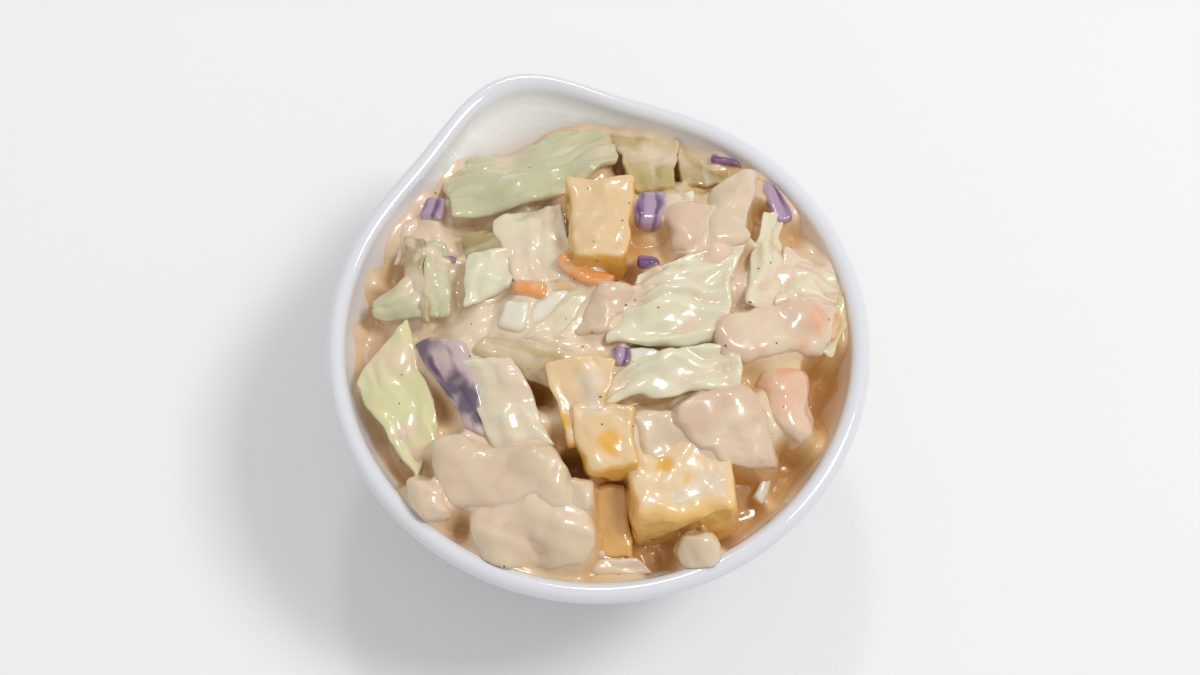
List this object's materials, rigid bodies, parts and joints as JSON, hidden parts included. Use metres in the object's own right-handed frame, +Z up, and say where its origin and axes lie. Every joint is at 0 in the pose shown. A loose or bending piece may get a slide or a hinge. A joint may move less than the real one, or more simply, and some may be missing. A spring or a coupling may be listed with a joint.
{
  "type": "bowl of coleslaw",
  "caption": "Small white dip bowl with a pouring lip, heaped with creamy chopped coleslaw of cabbage, carrot and yellow fruit cubes.",
  "frame": {"origin": "centre of the bowl's flat foot, on the surface that it stands on", "axes": "+Z up, +Y towards the pouring lip, +X to the right seen from the side away from the lip"},
  "size_m": [0.092, 0.0994, 0.0544],
  "materials": {
    "pottery": "gloss",
    "dressed_salad": "wet gloss, cream dressing over pale green leaves"
  },
  "bodies": {
    "root": {"bowl": "pottery", "coleslaw": "dressed_salad"}
  },
  "joints": []
}
